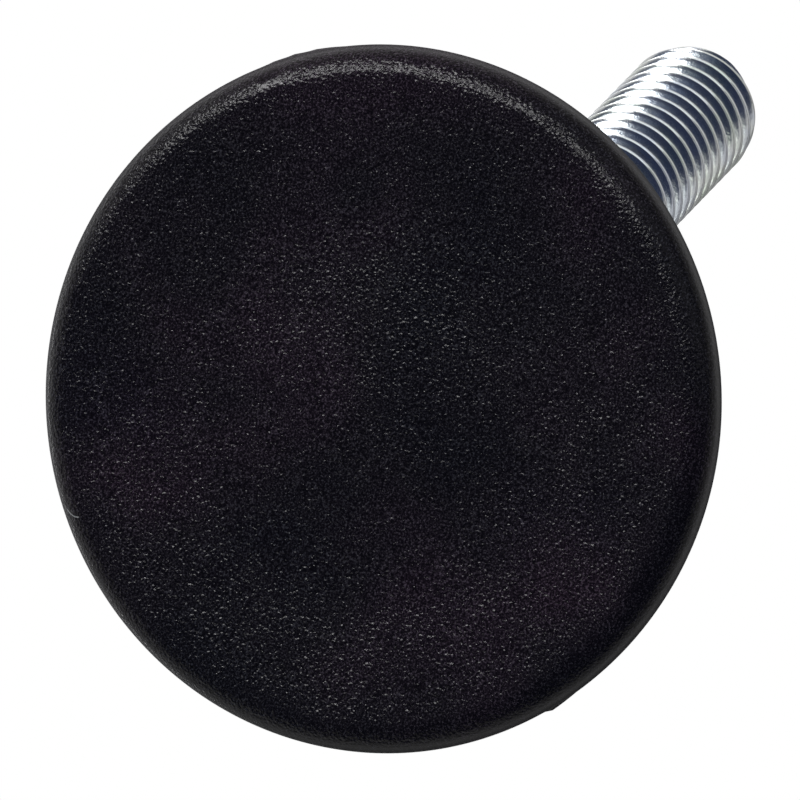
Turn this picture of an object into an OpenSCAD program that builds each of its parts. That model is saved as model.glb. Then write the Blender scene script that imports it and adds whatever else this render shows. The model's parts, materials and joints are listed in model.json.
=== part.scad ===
// Swivelling adjusting foot: a moulded round foot plate with a ball socket in its
// hub, and an adjusting screw whose ball end snaps into that socket.
// Millimetres. The origin is the centre of the plate's flat sole, +Z points up,
// and the screw leans towards +X.

/* [Foot plate] */
// Diameter of the plate at its widest line
plate_d = 50; // [40:1:60]
// Radius of the round bead that edges the plate
rim_r = 2.4; // [2.2:0.05:3]
// Angle at which the bead meets the flat sole, in degrees
rim_crease = 11; // [0:1:20]
// Slope of the plate's upper side, in degrees
dome_angle = 13; // [8:1:16]

/* [Hub and socket] */
// Thickness of plastic left under the ball
socket_floor = 3.2; // [2:0.1:4]
// Thickness of the hub's wall round the ball
hub_wall = 3.4; // [2.4:0.1:4.5]
// Height of the conical mouth above its narrowest line
mouth_h = 0.8; // [0.5:0.1:1.5]
// Radius of the fillet at the hub's foot
hub_fillet = 2; // [1:0.1:3]
// Radius of the round on the hub's upper edge
hub_round = 0.8; // [0.4:0.1:1.2]

/* [Adjusting screw] */
// Diameter of the ball end
ball_d = 12.5; // [11:0.1:14]
// Diameter of the neck between the ball and the hexagon
neck_d = 6.6; // [5:0.1:7]
// Radius of the fillet between the neck and the hexagon
neck_fillet = 1.2; // [0.6:0.1:1.6]
// Width of the hexagon across its flats
hex_af = 14; // [13:1:17]
// Height of the hexagon
hex_h = 6; // [4:0.5:8]
// Major diameter of the thread
thread_d = 10; // [8:0.5:12]
// Length of the shank from the hexagon to its end
shank_l = 41; // [25:1:100]
// Width of the thread relief above the hexagon
relief_w = 2; // [1:0.1:3]
// Depth of the thread relief below the thread's major diameter
relief_depth = 1; // [0.8:0.1:1.3]
// Length of the tapered lead at the end of the thread
lead_l = 1.5; // [1:0.1:3]
// Depth of the lead below the thread's major diameter
lead_depth = 0.45; // [0.3:0.05:0.8]

/* [Fits and swivel] */
// How far the screw tilts each way, in degrees: at rest it leans this far towards +X
swing = 21; // [10:0.5:22]
// Radial clearance between the ball and its socket
ball_fit = 0.05; // [0.02:0.01:0.1]
// Clearance between the neck and the mouth at full tilt
neck_fit = 0.3; // [0.2:0.05:0.5]
// Clearance between the hexagon and the hub at full tilt
hex_fit = 0.6; // [0.4:0.1:1.5]

/* [Hidden] */
$fn = 128;
// Cuts run this far past a face, so that no cut ends on it
past = 0.5;

// Rim bead: its centre's radius, and the sole's edge where the bead meets it
plate_r = plate_d / 2;
rim_centre = plate_r - rim_r;
rim_h = rim_r * cos(rim_crease);
sole_r = rim_centre + rim_r * sin(rim_crease);

// The sloping top leaves the bead along its tangent
top_r = rim_centre + rim_r * sin(dome_angle);
top_z = rim_h + rim_r * cos(dome_angle);

// Ball, socket and hub
ball_r = ball_d / 2;
neck_r = neck_d / 2;
socket_r = ball_r + ball_fit;
pivot_h = socket_floor + socket_r;
hub_r = socket_r + hub_wall;

// The mouth is the cone that the tilting neck sweeps, plus its clearance. It cuts
// the socket's sphere at the throat, below which the lip holds the ball
mouth_slope = tan(swing);
mouth_start = neck_r / cos(swing) + neck_fit;
mouth_k = 1 + mouth_slope * mouth_slope;
throat_root = sqrt(socket_r * socket_r * mouth_k - mouth_start * mouth_start);
throat_h = (throat_root - mouth_slope * mouth_start) / mouth_k;
hub_h = throat_h + mouth_h;
hub_top = pivot_h + hub_h;

// Hexagon: its underside clears the hub when a corner tilts down
hex_corner = hex_af / sqrt(3);
hex_z = (hub_h + hex_fit + hex_corner * sin(swing)) / cos(swing);
hex_top = hex_z + hex_h;
hex_chamfer_slope = tan(30);

// Shank, measured along the screw from the ball's centre
thread_r = thread_d / 2;
relief_r = thread_r - relief_depth;
lead_r = thread_r - lead_depth;
relief_top = hex_top + relief_w;
shank_end = hex_top + shank_l;
lead_z = shank_end - lead_l;

// Height of the plate's sloping top at radius r
function dome_z(r) = top_z + (top_r - r) * tan(dome_angle);

// Half section of the plate below its hub: sole, rim bead and sloping top
module plate_section() {
    polygon([
        [0, 0], [sole_r, 0], [rim_centre, rim_h],
        [top_r, top_z], [0, dome_z(0)]
    ]);
    intersection() {
        translate([rim_centre, rim_h])
            circle(r = rim_r);
        square([plate_r + past, 2 * rim_r + rim_h]);
    }
}

// Half section of the hub, with a round at its upper edge
module hub_section() {
    square([hub_r, hub_top - hub_round]);
    square([hub_r - hub_round, hub_top]);
    translate([hub_r - hub_round, hub_top - hub_round])
        circle(r = hub_round);
}

// Half section of the fillet in the corner between the sloping top and the hub
module hub_fillet_section() {
    fillet_x = hub_r + hub_fillet;
    fillet_z = dome_z(fillet_x) + hub_fillet / cos(dome_angle);
    touch_x = fillet_x - hub_fillet * sin(dome_angle);
    difference() {
        polygon([
            [hub_r - past, dome_z(hub_r) - past],
            [touch_x, dome_z(touch_x) - past],
            [touch_x, dome_z(touch_x)],
            [fillet_x, fillet_z],
            [hub_r, fillet_z],
            [hub_r - past, fillet_z]
        ]);
        translate([fillet_x, fillet_z])
            circle(r = hub_fillet);
    }
}

// The ball's seat and the conical mouth above it
module socket_cut() {
    translate([0, 0, pivot_h]) {
        sphere(r = socket_r);
        cylinder(
            h = hub_h + past,
            r1 = mouth_start,
            r2 = mouth_start + (hub_h + past) * mouth_slope
        );
    }
}

// Moulded plate and hub in one piece, with the socket that holds the ball
module foot_plate() {
    color([0.11, 0.11, 0.13])
        difference() {
            rotate_extrude()
                union() {
                    plate_section();
                    hub_section();
                    hub_fillet_section();
                }
            socket_cut();
        }
}

// Neck with the fillet that runs it out into the hexagon's underside
module neck() {
    cylinder(h = hex_z + past, r = neck_r);
    rotate_extrude()
        difference() {
            translate([neck_r - past, hex_z - neck_fillet])
                square([neck_fillet + past, neck_fillet + past]);
            translate([neck_r + neck_fillet, hex_z - neck_fillet])
                circle(r = neck_fillet);
        }
}

// Hexagon with turned 30 degree chamfers on both sides
module hexagon() {
    flat_r = hex_af / 2;
    drop = (hex_corner - flat_r) * hex_chamfer_slope;
    intersection() {
        translate([0, 0, hex_z])
            cylinder(h = hex_h, r = hex_corner, $fn = 6);
        rotate_extrude()
            polygon([
                [0, hex_z], [flat_r, hex_z],
                [hex_corner, hex_z + drop], [hex_corner, hex_top - drop],
                [flat_r, hex_top], [0, hex_top]
            ]);
    }
}

// Threaded shank: relief, full diameter and tapered lead
module shank() {
    rotate_extrude()
        polygon([
            [0, hex_top - past], [relief_r, hex_top - past],
            [relief_r, relief_top - relief_depth], [thread_r, relief_top],
            [thread_r, lead_z], [lead_r, shank_end], [0, shank_end]
        ]);
}

// Turned screw in one piece: ball, neck, hexagon and shank, tilted about the ball
module adjusting_screw() {
    color([0.72, 0.75, 0.78])
        translate([0, 0, pivot_h])
            rotate([0, swing, 0]) {
                sphere(r = ball_r);
                neck();
                hexagon();
                shank();
            }
}

foot_plate();
adjusting_screw();
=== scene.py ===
# %% [markdown]
# # An adjusting screw with a swivelling foot
# The object has two pieces. A black plastic foot plate is moulded in one shot, with a ball
# socket in its hub. A zinc-plated steel screw ends in a ball that snaps into that socket, so
# the plate finds its own angle on an uneven floor. This lesson dresses both pieces: it builds
# their skins from formulas, gives them their finishes, and lights them.
#
# The first cell loads the imported model, whose solids stay where they are.

# %% Load the frame
import json

import bmesh
import bpy
import numpy as np
from mathutils import Matrix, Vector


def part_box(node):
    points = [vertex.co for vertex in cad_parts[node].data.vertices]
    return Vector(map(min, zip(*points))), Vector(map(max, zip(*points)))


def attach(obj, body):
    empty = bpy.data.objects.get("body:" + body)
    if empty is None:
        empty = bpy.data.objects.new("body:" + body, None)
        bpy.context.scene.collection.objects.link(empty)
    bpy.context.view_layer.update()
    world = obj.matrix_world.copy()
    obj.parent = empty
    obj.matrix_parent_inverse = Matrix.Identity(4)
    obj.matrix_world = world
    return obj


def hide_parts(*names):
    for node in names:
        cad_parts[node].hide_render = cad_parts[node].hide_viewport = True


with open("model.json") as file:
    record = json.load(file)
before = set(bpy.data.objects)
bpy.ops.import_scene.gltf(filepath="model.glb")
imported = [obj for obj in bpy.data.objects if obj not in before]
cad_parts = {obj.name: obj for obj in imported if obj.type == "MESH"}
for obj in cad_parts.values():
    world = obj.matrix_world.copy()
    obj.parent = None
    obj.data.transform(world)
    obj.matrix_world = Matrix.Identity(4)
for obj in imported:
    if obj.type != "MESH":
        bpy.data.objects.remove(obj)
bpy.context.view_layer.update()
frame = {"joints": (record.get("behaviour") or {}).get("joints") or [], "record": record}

# %% [markdown]
# ## Sizes
# Lengths are in millimetres, as on a drawing, and become metres when a mesh is made. Where the
# frame already knows a size, such as the tilt of the screw or the height of the ball, it is
# read from there and not written again, so the skins can't drift away from the solids.

# %% Sizes that the frame gives
MM = 0.001
record = frame["record"]
threaded_end = next(mount for mount in record["mounts"] if mount["name"] == "threaded_end")
plate_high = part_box("foot_plate")[1]

ball_height = frame["joints"][0]["pos_m"][2] / MM
screw_axis = np.array(threaded_end["axis"], float)
thread_r = threaded_end["dims"]["r_mm"]
plate_r = plate_high.x / MM
hub_top = plate_high.z / MM
lean = np.arctan2(screw_axis[0], screw_axis[2])
print(f"plate radius {plate_r:.2f}, hub top {hub_top:.2f}, ball at {ball_height:.2f}, "
      f"lean {np.degrees(lean):.1f} degrees")

# %% [markdown]
# ## The camera
# The object is seen from below, through a long lens that hardly shows perspective. A camera
# could be placed by hand and nudged. Here it is given as a map gives a place: an azimuth round
# the object, an elevation (negative, because it looks up), a roll about the line of sight, a
# distance, and the point of the render on which the middle of the sole falls.

# %% Camera
# Degrees
CAMERA_AZIMUTH = 161.45
CAMERA_ELEVATION = -71.47
CAMERA_ROLL = 84.20
# Millimetres
CAMERA_DISTANCE = 2200.0
SENSOR_WIDTH = 36.0
# Scale and place in the render, in pixels
FRAME_WIDTH_PX = 800
PX_PER_MM = 14.2008
ORIGIN_PX = (372.04, 400.07)


def camera_axes(azimuth, elevation, roll):
    """Right, up and backward directions of the camera, as three unit vectors.

    Backward points from the object to the camera. A level right and up are turned about it by
    the roll: right is the level right times its cosine plus the level up times its sine.
    """
    a, e, r = np.radians([azimuth, elevation, roll])
    back = np.array([np.sin(a) * np.cos(e), -np.cos(a) * np.cos(e), np.sin(e)])
    level_right = np.array([np.cos(a), np.sin(a), 0.0])
    level_up = np.cross(back, level_right)
    right = np.cos(r) * level_right + np.sin(r) * level_up
    return right, np.cross(back, right), back


right, up, back = camera_axes(CAMERA_AZIMUTH, CAMERA_ELEVATION, CAMERA_ROLL)
lens_turn = Matrix(np.stack([right, up, back], axis=1).tolist()).to_4x4()
middle_px = FRAME_WIDTH_PX / 2
aim = (right * (middle_px - ORIGIN_PX[0]) - up * (middle_px - ORIGIN_PX[1])) / PX_PER_MM

camera = bpy.data.objects.new("camera", bpy.data.cameras.new("camera"))
camera.data.sensor_width = SENSOR_WIDTH
camera.data.lens = SENSOR_WIDTH * PX_PER_MM * CAMERA_DISTANCE / FRAME_WIDTH_PX
camera.matrix_world = Matrix.Translation((aim + back * CAMERA_DISTANCE) * MM) @ lens_turn
bpy.context.scene.collection.objects.link(camera)
bpy.context.scene.camera = camera
print(f"lens {camera.data.lens:.0f} mm, camera at {[round(x, 3) for x in camera.location]}")

# %% [markdown]
# ## Skins from grids
# Both pieces are round things made on a lathe or in a turned mould, so each skin is a grid: one
# direction runs along a profile, the other runs round the axis. Blender's Screw modifier could
# spin a profile too, but a computed grid lets the radius also depend on the angle, which the
# hexagon and the thread need. The profile is a chain of arcs and straight runs.

# %% Helpers for profiles
def arc(centre, radius, start, stop, steps):
    """Points on a circle: the centre plus the radius times the cosine and sine of an angle
    that runs evenly from start to stop, in degrees."""
    angle = np.radians(np.linspace(start, stop, steps))
    return np.stack([centre[0] + radius * np.cos(angle), centre[1] + radius * np.sin(angle)], 1)


def straight(start, stop, steps):
    """Evenly spaced points from start to stop."""
    share = np.linspace(0.0, 1.0, steps)[:, None]
    return np.array(start) * (1 - share) + np.array(stop) * share


def chain(*runs):
    """One profile from several runs that meet end to end: each drops its doubled first point."""
    return np.concatenate([runs[0]] + [run[1:] for run in runs[1:]])


def hump(distance, width):
    """A smooth hump: one at distance nought, fading as the bell curve of distance by width."""
    return np.exp(-((distance / width) ** 2))


def smooth_step(value, low, high):
    """Nought below low, one above high, and a smooth S between them."""
    share = np.clip((value - low) / (high - low), 0, 1)
    return share * share * (3 - 2 * share)


# %% [markdown]
# A grid is computed as one array, and its faces join neighbouring rows and columns. Where rows
# meet at a pole, or grids meet at a ring, the doubled points are merged, so the skin is closed.

# %% Helpers for grids
# Metres, as a mesh has them
MERGE_DISTANCE = 2e-7


def columns(count):
    """The angles of the grid's columns, evenly round the axis, in radians. The last one lies
    on the first, a whole turn on."""
    return np.linspace(0, 2 * np.pi, count + 1)[None, :]


def around(radius, height, angle):
    """Grid points: x and y are the radius times the angle's cosine and sine, z is the height.
    The three arrays broadcast to one row of the profile by one column of the angle."""
    radius, height, angle = np.broadcast_arrays(radius, height, angle)
    return np.stack([radius * np.cos(angle), radius * np.sin(angle), height], axis=-1)


def grid_faces(rows, count, first):
    """Four-cornered faces between neighbouring rows and columns of a grid. A corner's number
    is its row times the count of columns, plus its column, from the number first on."""
    row, column = np.meshgrid(np.arange(rows - 1), np.arange(count - 1), indexing="ij")
    corner = row * count + column
    corners = [corner, corner + 1, corner + count + 1, corner + count]
    return first + np.stack(corners, axis=-1).reshape(-1, 4)


def skin(name, grids, sharp_degrees, place=Matrix.Identity(4)):
    """A mesh object from grids in millimetres: doubles merged, faces outward, smooth apart
    from edges sharper than the given angle."""
    points, faces, first = [], [], 0
    for grid in grids:
        rows, count = grid.shape[:2]
        points.append(grid.reshape(-1, 3) * MM)
        faces.append(grid_faces(rows, count, first))
        first += rows * count
    mesh = bpy.data.meshes.new(name)
    mesh.from_pydata(np.concatenate(points).tolist(), [], np.concatenate(faces).tolist())
    mesh.transform(place)
    work = bmesh.new()
    work.from_mesh(mesh)
    bmesh.ops.remove_doubles(work, verts=work.verts, dist=MERGE_DISTANCE)
    bmesh.ops.dissolve_degenerate(work, edges=work.edges, dist=MERGE_DISTANCE)
    bmesh.ops.recalc_face_normals(work, faces=work.faces)
    open_edges = sum(not edge.is_manifold for edge in work.edges)
    work.to_mesh(mesh)
    work.free()
    mesh.shade_smooth()
    mesh.set_sharp_from_angle(angle=np.radians(sharp_degrees))
    piece = bpy.data.objects.new(name, mesh)
    bpy.context.scene.collection.objects.link(piece)
    triangles = sum(len(face.vertices) - 2 for face in mesh.polygons)
    print(f"{name}: {len(mesh.vertices)} points, {triangles} triangles, {open_edges} open edges")
    return piece


# %% [markdown]
# ## The foot plate
# The plate is one moulding. Its sole is flat, and a round bead edges it: the bead meets the sole
# at a slight crease and carries on past the widest line, where the two halves of the mould part.
# The upper side slopes up to a hub with a filleted foot. The profile is drawn as the mould
# itself was drawn and turned, from the middle of the sole, out and over, to the hub's top.

# %% Plate sizes
RIM_R = 2.4
HUB_WALL = 3.4
HUB_FILLET = 2.0
HUB_ROUND = 0.8
# Degrees
RIM_CREASE = 11
DOME_ANGLE = 13

BALL_R = 6.25
BALL_FIT = 0.05
NECK_R = 3.3
NECK_FIT = 0.3

rim_centre = plate_r - RIM_R
rim_height = RIM_R * np.cos(np.radians(RIM_CREASE))
bead_centre = (rim_centre, rim_height)
sole_r = rim_centre + RIM_R * np.sin(np.radians(RIM_CREASE))
socket_r = BALL_R + BALL_FIT
hub_r = socket_r + HUB_WALL
dome_slope = np.tan(np.radians(DOME_ANGLE))
dome_start = arc(bead_centre, RIM_R, 90 - DOME_ANGLE, 90 - DOME_ANGLE, steps=1)[0]


def dome_height(radius):
    """Height of the sloping upper side: it rises evenly from where it leaves the bead."""
    return dome_start[1] + (dome_start[0] - radius) * dome_slope


print(f"sole radius {sole_r:.2f}, bead's widest line at {rim_height:.2f}, hub radius {hub_r:.2f}")

# %% [markdown]
# The hub is open at the top. Its mouth is the cone that the neck sweeps when the screw leans
# all the way, plus a clearance. The cone cuts the socket's ball at the throat, and the lip
# below the throat is what holds the screw's ball. The throat's height is the root of the
# equation that sets the cone's radius equal to the ball's.

# %% Plate profile
mouth_slope = np.tan(lean)
mouth_start = NECK_R / np.cos(lean) + NECK_FIT
squeeze = 1 + mouth_slope**2
throat_root = np.sqrt(socket_r**2 * squeeze - mouth_start**2)
throat_height = (throat_root - mouth_slope * mouth_start) / squeeze
throat_r = mouth_start + mouth_slope * throat_height
throat_angle = np.degrees(np.arctan2(throat_height, throat_r))
mouth_r = mouth_start + mouth_slope * (hub_top - ball_height)

fillet_x = hub_r + HUB_FILLET
fillet_centre = (fillet_x, dome_height(fillet_x) + HUB_FILLET / np.cos(np.radians(DOME_ANGLE)))
edge_centre = (hub_r - HUB_ROUND, hub_top - HUB_ROUND)

sole_run = straight((0, 0), (sole_r, 0), steps=60)
bead_run = arc(bead_centre, RIM_R, RIM_CREASE - 90, 90 - DOME_ANGLE, steps=64)
fillet = arc(fillet_centre, HUB_FILLET, 270 - DOME_ANGLE, 180, steps=14)
dome_run = straight(dome_start, fillet[0], steps=26)
wall_run = straight(fillet[-1], (hub_r, hub_top - HUB_ROUND), steps=8)
edge_run = arc(edge_centre, HUB_ROUND, 0, 90, steps=12)
land_run = straight(edge_run[-1], (mouth_r, hub_top), steps=5)
mouth_run = straight((mouth_r, hub_top), (throat_r, ball_height + throat_height), steps=5)
socket_run = arc((0, ball_height), socket_r, throat_angle, -90, steps=40)
plate_profile = chain(
    sole_run, bead_run, dome_run, fillet, wall_run, edge_run, land_run, mouth_run, socket_run
)
print(f"plate profile: {len(plate_profile)} points, throat radius {throat_r:.2f}, "
      f"mouth radius {mouth_r:.2f}")

# %% [markdown]
# A moulding is never as perfect as its drawing. The sole cools last behind the thick hub, so it
# sinks in a shallow ring around it. The mould halves leave a hair-thin ridge where they part,
# with a short film of flash on one side and a small torn nib on the other. A sculpted mesh could
# show them too, but they would be one-off dents. Here they are shifts of the computed grid:
# smooth humps along and across the profile. The film and the nib lie where the round plate is
# well inside its box, the ridge stands past the box by a fiftieth of a millimetre at most, and
# nothing goes under the floor.

# %% Moulding marks
SINK_DEPTH = 0.36
SINK_R = 12.5
SINK_WIDTH = 6.5
SINK_FADE = 3.0
PARTING_RIDGE = 0.012
PARTING_WIDTH = 0.10
FILM_OUT = 0.13
NIB_OUT = 0.18
# Degrees round the plate
FILM_AT = -26.0
FILM_HALF_ANGLE = 6.5
NIB_AT = 137.6
NIB_ANGLE = 5.5
# The film is cut level in its middle, where its curve passes one
FILM_FULLNESS = 1.2
# The ragged share of the film, its two waves in radians to a degree, and the second's start
FILM_RAGGED = 0.25
FILM_WAVES = (2.3, 0.9)
FILM_WAVE_START = 1.0


def sole_lift(radius):
    """How far the sole rises off the floor: a shallow ring-shaped sink, nought at the rim."""
    level_rim = smooth_step(sole_r - radius, 0, SINK_FADE)
    return SINK_DEPTH * hump(radius - SINK_R, SINK_WIDTH) * level_rim


def degrees_from(place, degrees):
    """Signed degrees from that place round the plate, the short way."""
    return (degrees - place + 180) % 360 - 180


def flash(angle):
    """How far flash stands out at the parting line, by angle round the plate: a film that two
    waves out of step make ragged, and a nib that ramps up evenly and ends in a step."""
    degrees = np.degrees(angle)
    from_film = degrees_from(FILM_AT, degrees)
    first, second = (degrees * wave for wave in FILM_WAVES)
    waves = np.sin(first) * np.sin(second + FILM_WAVE_START)
    ragged = 1 - FILM_RAGGED + FILM_RAGGED * waves
    film = FILM_OUT * np.clip(FILM_FULLNESS - (from_film / FILM_HALF_ANGLE) ** 2, 0, 1) * ragged
    along_nib = degrees_from(NIB_AT, degrees)
    nib = NIB_OUT * np.clip(1 - np.abs(along_nib) / NIB_ANGLE, 0, 1) * (along_nib <= 0)
    return film + nib


# %% [markdown]
# The marks are added to the profile's radius and height, and the grid is spun. The new piece
# stands for the plain solid of the foot plate and rides on the same body.

# %% The moulded foot
PLATE_COLUMNS = 288
# Rows lower than this lie on the sole
FLAT = 1e-6

plate_angle = columns(PLATE_COLUMNS)
profile_r = plate_profile[:, :1]
profile_z = plate_profile[:, 1:]
on_sole = (profile_z < FLAT) & (profile_r < sole_r)
at_parting = hump(profile_z - rim_height, PARTING_WIDTH) * (profile_r > rim_centre)
moulded_r = profile_r + at_parting * (PARTING_RIDGE + flash(plate_angle))
moulded_z = profile_z + np.where(on_sole, sole_lift(profile_r), 0.0)
moulded_foot = skin(
    "moulded_foot", [around(moulded_r, moulded_z, plate_angle)], sharp_degrees=35
)
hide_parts("foot_plate")
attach(moulded_foot, "foot")

# %% [markdown]
# ## The screw below the thread
# The ball, neck and hexagon were turned from hexagonal bar. All three fit one grid. Where the
# hexagon stands, the radius of a turned row is cut back to the bar's flats: at each angle the
# smaller of the two counts, and that alone draws the curved edges which a chamfering tool
# leaves on the corners.

# %% Ball, neck and hexagon
NECK_FILLET = 1.2
HEX_FLATS = 14.0
HEX_HEIGHT = 6.0
HEX_FIT = 0.6
RELIEF_WIDTH = 2.0
RELIEF_DEPTH = 1.0
RELIEF_FILLET = 0.3
# Degrees
HEX_CHAMFER = 30
# The higher this power, the sharper the hexagon's corners
CORNER_SHARPNESS = 90
SCREW_COLUMNS = 144

flat_r = HEX_FLATS / 2
corner_r = HEX_FLATS / np.sqrt(3)
hub_above_ball = hub_top - ball_height
hex_start = (hub_above_ball + HEX_FIT + corner_r * np.sin(lean)) / np.cos(lean)
hex_end = hex_start + HEX_HEIGHT
hex_drop = (corner_r - flat_r) * np.tan(np.radians(HEX_CHAMFER))
relief_end = hex_end + RELIEF_WIDTH
relief_r = thread_r - RELIEF_DEPTH
thread_start = relief_end - RELIEF_DEPTH


def hexagon_radius(angle):
    """Radius of a hexagon with slightly rounded corners, by angle. Each flat gives its own
    distance over the cosine of the angle from it, and a high power mean takes the least."""
    flats = np.radians(30 + 60 * np.arange(6))
    reach = np.clip(np.cos(angle[..., None] - flats), 0, None)
    return flat_r / (reach**CORNER_SHARPNESS).sum(-1) ** (1 / CORNER_SHARPNESS)


ball_top_angle = np.degrees(np.arccos(NECK_R / BALL_R))
neck_start = BALL_R * np.sin(np.radians(ball_top_angle))
neck_fillet_centre = (NECK_R + NECK_FILLET, hex_start - NECK_FILLET)
relief_fillet_centre = (relief_r + RELIEF_FILLET, hex_end + RELIEF_FILLET)
lower_profile = chain(
    arc((0, 0), BALL_R, -90, ball_top_angle, steps=48),
    straight((NECK_R, neck_start), (NECK_R, hex_start - NECK_FILLET), steps=6),
    arc(neck_fillet_centre, NECK_FILLET, 180, 90, steps=10),
    straight((NECK_R + NECK_FILLET, hex_start), (flat_r, hex_start), steps=5),
    straight((flat_r, hex_start), (corner_r, hex_start + hex_drop), steps=10),
    straight((corner_r, hex_start + hex_drop), (corner_r, hex_end - hex_drop), steps=8),
    straight((corner_r, hex_end - hex_drop), (flat_r, hex_end), steps=10),
    straight((flat_r, hex_end), (relief_r + RELIEF_FILLET, hex_end), steps=5),
    arc(relief_fillet_centre, RELIEF_FILLET, 270, 180, steps=6),
    straight((relief_r, hex_end + RELIEF_FILLET), (relief_r, thread_start), steps=4),
)
screw_angle = columns(SCREW_COLUMNS)
lower_r = np.minimum(lower_profile[:, :1], hexagon_radius(screw_angle))
lower_grid = around(lower_r, lower_profile[:, 1:], screw_angle)
print(f"ball, neck and hexagon: {len(lower_profile)} rows, hexagon from {hex_start:.2f} "
      f"to {hex_end:.2f} above the ball's centre")

# %% [markdown]
# ## The thread
# The shank carries a rolled M10 thread with a pitch of 1.5 mm. A ring-shaped ridge repeated
# along the shank would look nearly right, but it wouldn't be a thread: it has no lead. A helix
# climbs one pitch in one turn. The radius follows the metric profile: a narrow crest, flanks at
# 60 degrees to each other, and a rounded root. At both ends the ridge is cut back to a cone, as
# the thread roller leaves it.

# %% Thread profile
PITCH = 1.5
SHANK_LENGTH = 41.0
LEAD_LENGTH = 1.5
LEAD_DEPTH = 0.45
# At angle nought, the last crest lies this far before the shank's end
CREST_BEFORE_END = 1.174
# Half of a crest's flat, the root's radius, and how much each is softened
CREST_HALF = 0.19
CREST_SOFTNESS = 0.07
ROOT_R = 4.07
ROOT_SOFTNESS = 0.06
FLANK_RUN = np.tan(np.radians(30))

shank_end = hex_end + SHANK_LENGTH


def thread_radius(offset):
    """Radius of the thread by distance along the axis from the middle of a crest. The flank is
    a straight slope. A smooth minimum of the slope and the major radius rounds the crest, and
    a smooth maximum of that and the root radius rounds the root."""
    flank = thread_r - (np.abs(offset) - CREST_HALF) / FLANK_RUN
    under_crest = (thread_r - flank) / CREST_SOFTNESS
    crest = thread_r - CREST_SOFTNESS * np.logaddexp(0, under_crest)
    return ROOT_R + ROOT_SOFTNESS * np.logaddexp(0, (crest - ROOT_R) / ROOT_SOFTNESS)


def thread_limit(height):
    """Largest radius left by the relief's cone below and the lead's cone at the end."""
    run_in = relief_r + np.clip(height - thread_start, 0, None)
    into_lead = np.clip(height - shank_end + LEAD_LENGTH, 0, None) / LEAD_LENGTH
    return np.minimum(run_in, thread_r - LEAD_DEPTH * into_lead)


print(f"thread from {thread_start:.2f} to {shank_end:.2f} above the ball's centre, crest radius "
      f"{thread_radius(0):.2f}, root radius {thread_radius(PITCH / 2):.2f}")

# %% [markdown]
# Each turn of the thread gets the same few rows, closer together on the crest and flanks than
# in the root. Each column of the grid is shifted up by its share of the pitch, so the rows climb
# one pitch in one turn, and the last column meets the first of the next turn. Rows past the ends
# are pressed flat onto them, and their doubled points are merged.

# %% Thread grid
# Distances from a crest's middle to the rows on one side of it
HALF_TURN_ROWS = np.array([0.0, 0.05, 0.10, 0.15, 0.21, 0.34, 0.50, 0.60, 0.68])
# Turns that run past the two ends before they are pressed flat
TURNS_ABOVE = 2
TURNS_BELOW = 1.5

one_turn = np.concatenate([-HALF_TURN_ROWS[:0:-1], HALF_TURN_ROWS, [PITCH / 2]])
top_crest = shank_end - CREST_BEFORE_END + TURNS_ABOVE * PITCH
turn_count = int(np.ceil((top_crest - thread_start + TURNS_BELOW * PITCH) / PITCH)) + 1
lowest_crest = top_crest - PITCH * (turn_count - 1)
crest_of_row = lowest_crest + PITCH * np.repeat(np.arange(turn_count), len(one_turn))
offset_of_row = np.tile(one_turn, turn_count)
free_height = (crest_of_row + offset_of_row)[:, None] + PITCH * screw_angle / (2 * np.pi)


def distance_from_crest(height, angle):
    """Signed distance along the axis to the nearest crest, which climbs a pitch each turn."""
    climbed = height - lowest_crest - PITCH * angle / (2 * np.pi)
    return (climbed + PITCH / 2) % PITCH - PITCH / 2


def shank_radius(height, angle):
    """Radius of the finished shank: the thread's, where the cones at its ends leave it."""
    free = thread_radius(distance_from_crest(height, angle))
    return np.minimum(free, thread_limit(height))


thread_height = np.clip(free_height, thread_start, shank_end)
thread_grid = around(shank_radius(thread_height, screw_angle), thread_height, screw_angle)
print(f"thread: {turn_count} turns, {thread_grid.shape[0]} rows by {thread_grid.shape[1]} columns")

# %% [markdown]
# The end of the shank is a flat face, cut by the thread's groove. It is one more grid, from the
# ring where the thread stops to the middle. The three grids meet ring to ring, and turn
# together about the ball's centre to the lean at which the screw rests.

# %% End face and the whole screw
END_RINGS = 9

inward = np.linspace(1.0, 0.0, END_RINGS)[:, None]
end_ring = shank_radius(np.full_like(screw_angle, shank_end), screw_angle)
end_grid = around(inward * end_ring, shank_end, screw_angle)

stand = Matrix.Translation((0, 0, ball_height * MM)) @ Matrix.Rotation(lean, 4, "Y")
screw = skin(
    "threaded_screw", [lower_grid, thread_grid, end_grid], sharp_degrees=40, place=stand
)
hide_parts("adjusting_screw")
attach(screw, "screw")

# %% [markdown]
# ## Finishes
# A finish is a small graph of nodes. Graphs can be drawn by hand in the editor, but written out
# they can be read and made again. These helpers keep them short: one starts a material and
# hands back its Principled shader, one adds a node with its settings, and one puts the material
# on a piece. A value that is the same everywhere is set on the shader itself.

# %% Helpers for finishes
def new_finish(name):
    """A material with its node tree and its Principled shader."""
    material = bpy.data.materials.new(name)
    material.use_nodes = True
    tree = material.node_tree
    return material, tree, tree.nodes["Principled BSDF"]


def add(tree, kind, inputs=(), **settings):
    """A new node of that kind with its settings, and its inputs: a socket is linked and a
    value is set."""
    node = tree.nodes.new(kind)
    for key, value in settings.items():
        setattr(node, key, value)
    for key, value in dict(inputs).items():
        if isinstance(value, bpy.types.NodeSocket):
            tree.links.new(value, node.inputs[key])
        else:
            node.inputs[key].default_value = value
    return node


def dress(piece, material):
    """Gives the piece this material and no other."""
    piece.data.materials.clear()
    piece.data.materials.append(material)
    print(f"{piece.name} wears {material.name}: {len(material.node_tree.nodes)} nodes")


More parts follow.
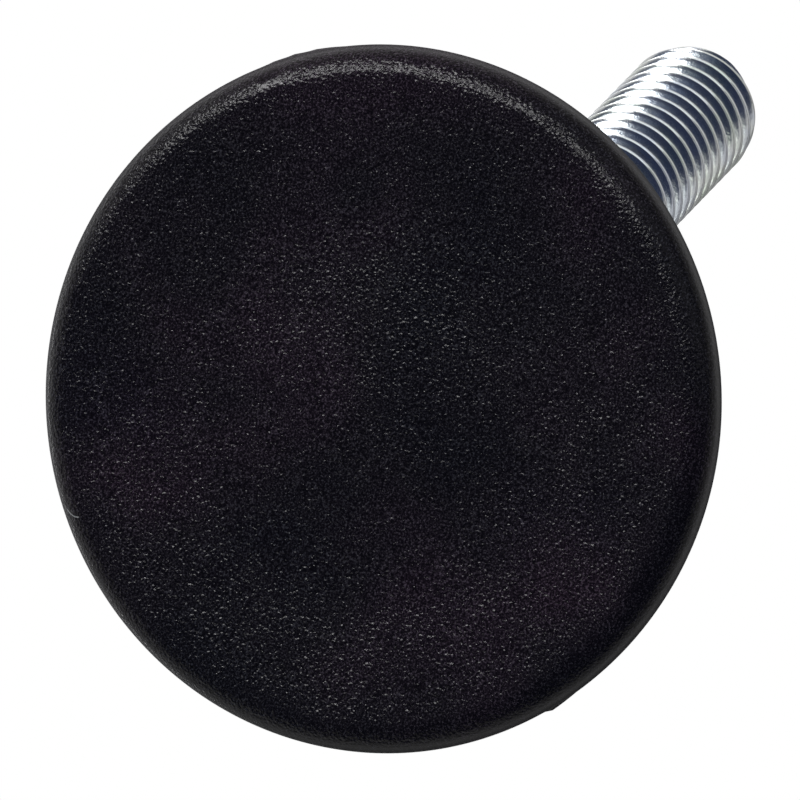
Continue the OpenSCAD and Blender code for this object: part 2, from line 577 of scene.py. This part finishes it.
# %% [markdown]
# Nearly every pattern here starts as noise, or as values that a piece carries on its points, and
# becomes a level or a colour through a ramp. Both keep to the piece when it moves: noise is laid
# out in the piece's own coordinates, and carried values belong to its points.

# %% Helpers for patterns
def attribute(tree, name):
    """The values that a piece carries on its points under that name."""
    return add(tree, "ShaderNodeAttribute", attribute_name=name).outputs["Fac"]


def noise(tree, where, scale, detail, roughness=0.5):
    """A noise pattern. The scale is in features per metre."""
    values = {"Vector": where, "Scale": scale, "Detail": detail, "Roughness": roughness}
    return add(tree, "ShaderNodeTexNoise", values).outputs["Fac"]


def ramp(tree, factor, stops):
    """A colour ramp through the given stops, each a place and a value or a colour."""
    node = add(tree, "ShaderNodeValToRGB", {"Fac": factor})
    band = node.color_ramp
    while len(band.elements) < len(stops):
        band.elements.new(0.5)
    for element, (place, value) in zip(band.elements, stops):
        element.position = place
        element.color = (*value, 1) if isinstance(value, tuple) else (value, value, value, 1)
    return node.outputs["Color"]


# %% [markdown]
# The last helpers join patterns: sums and products of values, a value carried from one range to
# another, and a mix of two colours.

# %% Helpers for joining patterns
# The Mix node has sockets for each kind of value: these are the ones for two colours
MIX_FACTOR, MIX_FIRST, MIX_SECOND, MIX_RESULT = 0, 6, 7, 2


def combine(tree, operation, first, second=0.0):
    """One value from two, such as their sum or product."""
    return add(tree, "ShaderNodeMath", {0: first, 1: second}, operation=operation).outputs[0]


def stretch(tree, value, start, stop):
    """A value carried evenly from one range to another, and held at its ends: each of start
    and stop is a pair, the value before and the value after."""
    limits = {"From Min": start[0], "To Min": start[1], "From Max": stop[0], "To Max": stop[1]}
    return add(tree, "ShaderNodeMapRange", {"Value": value, **limits}).outputs["Result"]


def mix_colours(tree, factor, first, second, blend="MIX"):
    """One colour from two, blended in the given way by the factor."""
    inputs = {MIX_FACTOR: factor, MIX_FIRST: first, MIX_SECOND: second}
    node = add(tree, "ShaderNodeMix", inputs, data_type="RGBA", blend_type=blend)
    return node.outputs[MIX_RESULT]


# %% [markdown]
# ## Black moulded plastic
# The mould's surface is spark-eroded, which leaves a fine grain of rounded pits about a quarter
# of a millimetre wide on the plastic. The bead's outer side was drawn out of the mould along
# its wall and is smoother. A mask could be painted by hand, but it would slip if a size changed.
# Here the piece itself carries it: a value on each point, worked out from the profile, that is
# one on the sole and falls along the bead. A second value marks two faintly violet blushes,
# where the melt flowed together on the sole.

# %% Grain and blushes on the foot
# How much of the sole's grain is left on the bead's outer side
BEAD_GRAIN = 0.22
# Degrees along the bead, from its lowest point outwards and up
BEAD_SMOOTHS = (22, 72)
BEAD_ROUGHENS = (100, 140)
# Each blush: x, y and size
BLUSHES = ((-6.7, -16.2, 5.5), (-8.5, 16.1, 5.0))


def point_places(piece):
    """The piece's points as an array in millimetres."""
    flat = np.empty(len(piece.data.vertices) * 3, np.float32)
    piece.data.vertices.foreach_get("co", flat)
    return flat.reshape(-1, 3) / MM


def mark(piece, name, values):
    """Stores one value for each point under that name, for a material to read."""
    carried = piece.data.attributes.new(name, "FLOAT", "POINT")
    carried.data.foreach_set("value", values.astype(np.float32))
    print(f"{name} on {piece.name}: {values.min():.2f} to {values.max():.2f}")


x, y, z = point_places(moulded_foot).T
reach = np.hypot(x, y)
bead_angle = np.degrees(np.arctan2(reach - rim_centre, rim_height - z))
drawn = smooth_step(bead_angle, *BEAD_SMOOTHS) * (1 - smooth_step(bead_angle, *BEAD_ROUGHENS))
mark(moulded_foot, "grain", 1 - (1 - BEAD_GRAIN) * drawn * (reach > rim_centre))
blush = sum(hump(np.hypot(x - across, y - along), size) for across, along, size in BLUSHES)
mark(moulded_foot, "blush", blush * (z < rim_height))

# %% [markdown]
# The grain is a bump: noise less half of a cell pattern at the same scale gives rounded pits
# with narrow ridges. A coarser noise leaves small bald spots in it, as where a mould is worn,
# and a slow wave under both bends the reflections a little, as moulded plastic does. Real
# displacement would need a point for each pit, several million of them.

# %% Plastic: grain
# Features per metre
GRAIN_SCALE = 3900
BALD_SCALE = 210
WAVE_SCALE = 95
# Depths of the bumps
GRAIN_DEPTH = 0.1
WAVE_DEPTH = 0.6
WAVE_STRENGTH = 0.30
# How soft the cells are, and how much of them is taken from the noise
CELL_SOFTNESS = 0.35
CELL_SHARE = 0.5
# From a bald spot's share of the grain to the usual one
BALD_STOPS = [(0.32, 0.10), (0.37, 0.85)]

plastic, tree, shader = new_finish("black_moulded_plastic")
here = add(tree, "ShaderNodeTexCoord").outputs["Object"]
pits = noise(tree, here, GRAIN_SCALE, detail=1.5, roughness=0.55)
cells = add(
    tree, "ShaderNodeTexVoronoi",
    {"Vector": here, "Scale": GRAIN_SCALE, "Smoothness": CELL_SOFTNESS},
    feature="SMOOTH_F1",
).outputs["Distance"]
grain_height = combine(tree, "SUBTRACT", pits, combine(tree, "MULTIPLY", cells, CELL_SHARE))
bald = ramp(tree, noise(tree, here, BALD_SCALE, detail=3.0, roughness=0.55), BALD_STOPS)
grain_strength = combine(tree, "MULTIPLY", attribute(tree, "grain"), bald)
grain = add(
    tree, "ShaderNodeBump",
    {"Strength": grain_strength, "Distance": GRAIN_DEPTH * MM, "Height": grain_height},
).outputs["Normal"]
wave = add(
    tree, "ShaderNodeBump",
    {"Strength": WAVE_STRENGTH, "Distance": WAVE_DEPTH * MM,
     "Height": noise(tree, here, WAVE_SCALE, detail=2.0), "Normal": grain},
).outputs["Normal"]
tree.links.new(wave, shader.inputs["Normal"])
print(f"grain {1 / GRAIN_SCALE / MM:.2f} mm wide, bald spots {1 / BALD_SCALE / MM:.1f} mm, "
      f"waves {1 / WAVE_SCALE / MM:.1f} mm")

# %% [markdown]
# Black plastic isn't one black. A fine noise sets darker spots at random, and lighter spots and a
# few pale flecks that are painted glints of the grain; some of the flecks are dust. Slow clouds
# and the two blushes multiply that colour and lean it to violet.

# %% Plastic: colour
# Features per metre
FLECK_SCALE = 6800
CLOUD_SCALE = 62
# Red, green and blue
BLACK_DARK_SPOT = (0.0041, 0.0032, 0.0041)
BLACK_PLASTIC = (0.0098, 0.0078, 0.0108)
# The lighter spot and the pale fleck are painted glints of the grain, and some flecks are dust
BLACK_GLINT_SPOT = (0.0200, 0.0168, 0.0218)
DUST_AND_GLINT_FLECK = (0.062, 0.060, 0.070)
BLACK_STOPS = [(0.40, BLACK_DARK_SPOT), (0.50, BLACK_PLASTIC), (0.57, BLACK_GLINT_SPOT), (0.66, DUST_AND_GLINT_FLECK)]
UNCHANGED = (1.0, 1.0, 1.0)
CLOUD_STOPS = [(0.36, (0.75, 0.82, 0.85)), (0.50, UNCHANGED), (0.66, (1.50, 1.22, 1.38))]
BLUSH_STOPS = [(0.0, UNCHANGED), (1.0, (1.60, 1.28, 1.45))]

# Painted glints: this ramp's lighter spots and pale flecks stand in for the grain's sparkle
black = ramp(tree, noise(tree, here, FLECK_SCALE, detail=2.0, roughness=0.65), BLACK_STOPS)
clouds = ramp(tree, noise(tree, here, CLOUD_SCALE, detail=2.0), CLOUD_STOPS)
blushes = ramp(tree, attribute(tree, "blush"), BLUSH_STOPS)
black = mix_colours(tree, 1.0, black, clouds, "MULTIPLY")
black = mix_colours(tree, 1.0, black, blushes, "MULTIPLY")
print(f"flecks {1 / FLECK_SCALE / MM:.2f} mm wide, clouds {1 / CLOUD_SCALE / MM:.0f} mm")

# %% [markdown]
# One curved fibre of dust clings to the bead. A hair of mesh would hang off the piece as a stray
# part, so it is drawn in the colour: it shows where a place lies both on a ball's surface, which
# cuts the bead in a curve, and within half the fibre's length of its middle.

# %% Plastic: a fibre of dust
# Places as x, y and z
FIBRE_BALL = (-11.68, -19.85, 0.24)
FIBRE_BALL_R = 1.39
FIBRE_MIDDLE = (-13.00, -20.15, 0.38)
# Each fades from the first distance to the second
FIBRE_HALF_LENGTH = (0.60, 0.72)
FIBRE_HALF_WIDTH = (0.025, 0.065)
FIBRE_GREY = (0.36, 0.37, 0.37)


def distance_to(tree, where, point):
    """Distance in metres from each place to a point that is given in millimetres."""
    metres = [length * MM for length in point]
    node = add(tree, "ShaderNodeVectorMath", {0: where, 1: metres}, operation="DISTANCE")
    return node.outputs["Value"]


def fade_out(tree, distance, limits):
    """One up to the first limit and nought past the second, in millimetres."""
    return stretch(tree, distance, (limits[0] * MM, 1.0), (limits[1] * MM, 0.0))


off_ball = combine(tree, "SUBTRACT", distance_to(tree, here, FIBRE_BALL), FIBRE_BALL_R * MM)
fibre = combine(
    tree, "MULTIPLY",
    fade_out(tree, combine(tree, "ABSOLUTE", off_ball), FIBRE_HALF_WIDTH),
    fade_out(tree, distance_to(tree, here, FIBRE_MIDDLE), FIBRE_HALF_LENGTH),
)
black = mix_colours(tree, fibre, black, (*FIBRE_GREY, 1))
tree.links.new(black, shader.inputs["Base Color"])
print(f"fibre about {2 * FIBRE_HALF_LENGTH[0]:.1f} mm long")

# %% [markdown]
# The plastic has a satin gloss that varies in small patches. Seen at a glancing angle, the pits'
# edges hide its floor and the gloss breaks up, which a bump can't show. So the roughness also
# rises with the angle, and takes whichever of the two is higher.

# %% Plastic: gloss
# Features per metre
SHEEN_SCALE = 420
# From noise to roughness
SHEEN_STOPS = [(0.30, 0.16), (0.70, 0.23)]
# Pairs: how far the surface is turned away, and the roughness there
GLANCING_START = (0.50, 0.16)
GLANCING_END = (0.78, 0.70)

sheen = ramp(tree, noise(tree, here, SHEEN_SCALE, detail=3.0, roughness=0.6), SHEEN_STOPS)
turned_away = add(tree, "ShaderNodeLayerWeight", {"Blend": 0.5}).outputs["Facing"]
glancing = stretch(tree, turned_away, GLANCING_START, GLANCING_END)
tree.links.new(combine(tree, "MAXIMUM", sheen, glancing), shader.inputs["Roughness"])
shader.inputs["IOR"].default_value = 1.48
shader.inputs["Specular IOR Level"].default_value = 0.40
dress(moulded_foot, plastic)

# %% [markdown]
# ## Bright zinc plate
# Electroplated zinc is a thin bright skin over turned and rolled steel. It is a metal, so its
# colour is in its reflection. It reflects softly, with faint blue and green casts from its clear
# passivation, and is a little duller in patches and down in the thread's roots, where the
# plating is thinner. The screw carries the depth of its groove as a value on each point, which
# is worked out in the screw's own upright frame.

# %% Groove on the screw
# Between these depths below the crests, the groove's value rises from nought to one
GROOVE_DEPTHS = (0.3, 0.95)
# The end face lies within this of the shank's end, and isn't groove
END_MARGIN = 0.01

unturned = np.array(stand.to_3x3())
upright = (point_places(screw) - [0, 0, ball_height]) @ unturned
depth = thread_r - np.hypot(upright[:, 0], upright[:, 1])
in_thread = (upright[:, 2] > thread_start) & (upright[:, 2] < shank_end - END_MARGIN)
mark(screw, "groove", smooth_step(depth, *GROOVE_DEPTHS) * in_thread)

# %% Zinc plate
ZINC_BLUE = (0.76, 0.80, 0.88)
ZINC_PALE = (0.86, 0.88, 0.88)
ZINC_GREEN = (0.78, 0.84, 0.78)
ZINC_STOPS = [(0.36, ZINC_BLUE), (0.50, ZINC_PALE), (0.64, ZINC_GREEN)]
# From how dull a place is to its roughness
POLISH_STOPS = [(0.20, 0.19), (0.85, 0.26)]
# Features per metre
FILM_SCALE = 260
DULL_SCALE = 380
PEEL_SCALE = 2400
# Depth of the bump
PEEL_DEPTH = 0.02
PEEL_STRENGTH = 0.8

zinc, tree, shader = new_finish("bright_zinc_plate")
here = add(tree, "ShaderNodeTexCoord").outputs["Object"]
film = ramp(tree, noise(tree, here, FILM_SCALE, detail=3.0, roughness=0.6), ZINC_STOPS)
tree.links.new(film, shader.inputs["Base Color"])
patches = noise(tree, here, DULL_SCALE, detail=4.0, roughness=0.6)
both = combine(tree, "ADD", attribute(tree, "groove"), patches)
dullness = combine(tree, "MULTIPLY", both, 0.5)
tree.links.new(ramp(tree, dullness, POLISH_STOPS), shader.inputs["Roughness"])
orange_peel = noise(tree, here, PEEL_SCALE, detail=3.0, roughness=0.6)
peel = add(
    tree, "ShaderNodeBump",
    {"Strength": PEEL_STRENGTH, "Distance": PEEL_DEPTH * MM, "Height": orange_peel},
).outputs["Normal"]
tree.links.new(peel, shader.inputs["Normal"])
shader.inputs["Metallic"].default_value = 1.0
dress(screw, zinc)

# %% [markdown]
# ## Stage
# The floor is pale and plain. It is seen only from above: from below its back is clear, so the
# sole shows while the foot stands on it. Near the object it doesn't show in reflections, so the
# bead's underside reflects the studio and not a white sheet. It lies a hair under the sole.

# %% Floor
FLOOR_R = 6000
FLOOR_GAP = 0.02
FLOOR_GREY = (0.86, 0.86, 0.86)
# Reflections miss the floor up to the first radius and show it past the second
FLOOR_CLEAR_R = 100
FLOOR_SHOWN_R = 160


def disc(name, radius, height, steps=96):
    """A flat disc at that height, facing up, as one many-cornered face."""
    angle = np.linspace(0, 2 * np.pi, steps, endpoint=False)
    points = around(np.full(steps, float(radius)), float(height), angle) * MM
    mesh = bpy.data.meshes.new(name)
    mesh.from_pydata(points.tolist(), [], [list(range(steps))])
    piece = bpy.data.objects.new(name, mesh)
    bpy.context.scene.collection.objects.link(piece)
    return piece


floor = disc("floor", FLOOR_R, -FLOOR_GAP)
floor.visible_shadow = False
floor.visible_diffuse = False
floor_paint, tree, shader = new_finish("floor_paint")
shader.inputs["Base Color"].default_value = (*FLOOR_GREY, 1)
shader.inputs["Roughness"].default_value = 0.9
shader.inputs["Specular IOR Level"].default_value = 0.0
path = add(tree, "ShaderNodeLightPath")
side = add(tree, "ShaderNodeNewGeometry")
spread = add(tree, "ShaderNodeVectorMath", {0: side.outputs["Position"]}, operation="LENGTH")
near = stretch(
    tree, spread.outputs["Value"], (FLOOR_CLEAR_R * MM, 1.0), (FLOOR_SHOWN_R * MM, 0.0)
)
hidden = combine(tree, "MULTIPLY", path.outputs["Is Glossy Ray"], near)
clear = combine(tree, "MAXIMUM", side.outputs["Backfacing"], hidden)
window = add(tree, "ShaderNodeBsdfTransparent")
pane = add(
    tree, "ShaderNodeMixShader",
    {0: clear, 1: shader.outputs["BSDF"], 2: window.outputs["BSDF"]},
)
tree.links.new(pane.outputs["Shader"], tree.nodes["Material Output"].inputs["Surface"])
dress(floor, floor_paint)

# %% [markdown]
# Black plastic shows little but what it reflects, so a studio is built round it. Under
# everything hangs a wide dark navy card, square to the lens, which the sole and the thread's
# flanks reflect. It glows by itself at that colour, so no lamp can change it.

# %% Dark card
CARD_DISTANCE = 1500
CARD_R = 10500
CARD_NAVY = (0.018, 0.026, 0.056)

card = disc("dark_card", CARD_R, 0)
card.matrix_world = Matrix.Translation(back * CARD_DISTANCE * MM) @ lens_turn
card.visible_camera = False
card.visible_shadow = False
card_paint, tree, shader = new_finish("card_paint")
shader.inputs["Base Color"].default_value = (0.0, 0.0, 0.0, 1)
shader.inputs["Specular IOR Level"].default_value = 0.0
shader.inputs["Emission Color"].default_value = (*CARD_NAVY, 1)
shader.inputs["Emission Strength"].default_value = 1.0
dress(card, card_paint)

# %% [markdown]
# Round the sides and behind the object stands a grey screen, part of a ball about it. The bead's
# outer side reflects it, and the way its grey changes from the lens axis outwards is what draws
# the bead's roundness. It is brighter towards one hour of the clock, as when a window is on that
# side. The levels are given at a few angles off the lens axis and run evenly between them.

# %% Grey screen
SCREEN_R = 1500
SCREEN_ROWS = 40
SCREEN_COLUMNS = 72
# Degrees off the lens axis, and at each the two levels and the clock angle of the bright side
SCREEN_STOPS = (81, 100, 117, 150, 174)
SCREEN_BRIGHT_SIDE = (0.12, 0.24, 0.62, 0.78, 0.72)
SCREEN_DIM_SIDE = (0.12, 0.27, 0.34, 0.02, 0.0)
SCREEN_BRIGHT_CLOCKS = (75, 75, 75, 125, 125)

screen_angle = np.radians(np.linspace(SCREEN_STOPS[0], SCREEN_STOPS[-1], SCREEN_ROWS))[:, None]
screen_points = around(
    SCREEN_R * np.sin(screen_angle), SCREEN_R * np.cos(screen_angle), columns(SCREEN_COLUMNS)
)
screen = skin("grey_screen", [screen_points], sharp_degrees=60, place=lens_turn)
screen.visible_camera = False
screen.visible_shadow = False
screen.visible_diffuse = False

places = point_places(screen)
away = np.degrees(np.arccos(places @ back / SCREEN_R))
clock = np.arctan2(places @ up, places @ right)
bright_clock = np.radians(np.interp(away, SCREEN_STOPS, SCREEN_BRIGHT_CLOCKS))
# One towards the bright side of the clock, nought opposite
share = 0.5 + 0.5 * np.cos(clock - bright_clock)
bright_side = np.interp(away, SCREEN_STOPS, SCREEN_BRIGHT_SIDE)
dim_side = np.interp(away, SCREEN_STOPS, SCREEN_DIM_SIDE)
mark(screen, "level", dim_side + (bright_side - dim_side) * share)

screen_paint, tree, shader = new_finish("screen_paint")
glow = add(tree, "ShaderNodeEmission", {"Strength": attribute(tree, "level")})
tree.links.new(glow.outputs["Emission"], tree.nodes["Material Output"].inputs["Surface"])
dress(screen, screen_paint)

# %% [markdown]
# The world is a plain white. It is seen at full strength by the eye and in reflections, which
# makes the background white and gives metal something bright to show, and it is gentler as
# light, so that pale surfaces don't clip.

# %% World
AMBIENT = 0.5

world = bpy.data.worlds.new("studio")
bpy.context.scene.world = world
world.use_nodes = True
tree = world.node_tree
path = add(tree, "ShaderNodeLightPath")
seen = combine(tree, "MAXIMUM", path.outputs["Is Camera Ray"], path.outputs["Is Glossy Ray"])
seen = combine(tree, "MAXIMUM", seen, path.outputs["Is Transmission Ray"])
background = tree.nodes["Background"]
tree.links.new(stretch(tree, seen, (0.0, AMBIENT), (1.0, 1.0)), background.inputs["Strength"])
background.inputs["Color"].default_value = (1, 1, 1, 1)
print(f"world: white, {AMBIENT} as light")

# %% [markdown]
# ## Lamps
# Each lamp is a soft box. Its place is given as it would be called out from behind the camera:
# how far off the lens axis, and towards which hour. Its strength is given as the brightness of
# its face, and the power follows: brightness times pi times area. Grained black plastic and
# bright metal want their highlights from different places, so a lamp can be kept to one of the
# pieces by light linking. A studio does that with flags and screens.

# %% Helpers for lamps
def soft_box(name, off_axis, clock, distance, size, brightness, tone=(1, 1, 1), twist=0,
             only_for=None):
    """A rectangular lamp that faces the object from that distance. Its direction is the
    camera's backward axis turned off axis by the first angle, towards the clock angle counted
    from the right. Its first side points away from the axis, twisted by the last angle."""
    off, turn = np.radians([off_axis, clock])
    aside = np.cos(turn) * right + np.sin(turn) * up
    outward = np.sin(off) * aside + np.cos(off) * back
    tangent = np.cos(off) * aside - np.sin(off) * back
    lamp = bpy.data.lights.new(name, "AREA")
    lamp.shape = "RECTANGLE"
    lamp.size = size[0] * MM
    lamp.size_y = size[1] * MM
    lamp.energy = brightness * np.pi * lamp.size * lamp.size_y
    lamp.color = tone
    box = bpy.data.objects.new(name, lamp)
    place = Matrix.Translation(outward * distance * MM)
    axes = Matrix(np.stack([tangent, np.cross(outward, tangent), outward], axis=1).tolist())
    box.matrix_world = place @ axes.to_4x4() @ Matrix.Rotation(np.radians(twist), 4, "Z")
    box.visible_camera = False
    box.light_linking.receiver_collection = only_for
    bpy.context.scene.collection.objects.link(box)
    print(f"{name}: at {[round(x, 3) for x in box.location]}, {lamp.energy:.2f} W")


def kept_to(name, piece):
    """A collection of one piece, for the lamps that light only that piece."""
    group = bpy.data.collections.new(name)
    group.objects.link(piece)
    return group


# %% [markdown]
# Two long boxes at the upper left draw the bright line along the bead and the sheen on the sole
# beside it. A weak one at the upper right adds a few sparks to the grain there. One large box
# lights both pieces from behind the foot, which is above it as it stands.

# %% Lamps for the foot
STRIP_DISTANCE = 1200
BOX_DISTANCE = 400
UPPER_DISTANCE = 700

foot_only = kept_to("foot_only", moulded_foot)
# Name, angle off the axis, clock angle, distance, size and brightness
soft_box("key_strip", 37, 115, STRIP_DISTANCE, (740, 200), 5.6, twist=34, only_for=foot_only)
soft_box("side_strip", 60, 136, STRIP_DISTANCE, (740, 300), 8.0, twist=44, only_for=foot_only)
soft_box("rim_box", 50, 40, BOX_DISTANCE, (240, 480), 0.18, only_for=foot_only)
soft_box("upper_key", 163, 200, UPPER_DISTANCE, (400, 400), 2.0)

# %% [markdown]
# A thread reflects in two ways at once: the flanks that face the lens show one part of the
# studio, and the crests and roots sweep along an arc to the far side of it. One lamp would give
# a stripe with dark lines across it. So a chain of four boxes follows that arc, and the stripe
# runs unbroken over crests and roots. The other boxes give the crests, the navy flanks and the
# pale side their own levels and casts.

# %% Lamps for the screw
WHITE_CAST = (0.90, 0.95, 1.0)
CREST_CAST = (0.86, 0.96, 1.0)
BLUE_CAST = (0.55, 0.75, 1.0)
PALE_CAST = (0.97, 1.0, 0.90)

screw_only = kept_to("screw_only", screw)


def screw_box(name, off_axis, clock, size, brightness, tone=(1, 1, 1)):
    """A soft box at the usual distance that lights only the screw."""
    soft_box(name, off_axis, clock, BOX_DISTANCE, size, brightness, tone, only_for=screw_only)


# Name, angle off the axis, clock angle, size, brightness and cast
screw_box("stripe_card", 48, 158, (200, 120), 7.5, WHITE_CAST)
screw_box("stripe_joint", 64, 124, (130, 120), 5.0)
screw_box("stripe_bridge", 97, 103, (360, 130), 5.0)
screw_box("stripe_back", 136, 93, (220, 160), 5.0)
screw_box("crest_card", 88, 66, (360, 460), 0.8, CREST_CAST)
screw_box("blue_card", 22, 152, (170, 170), 0.07, BLUE_CAST)
screw_box("pale_card", 70, -77, (320, 180), 1.05, PALE_CAST)

# %% [markdown]
# ## View
# The render's view transform is set to Standard.

# %% View transform
bpy.context.scene.view_settings.view_transform = "Standard"
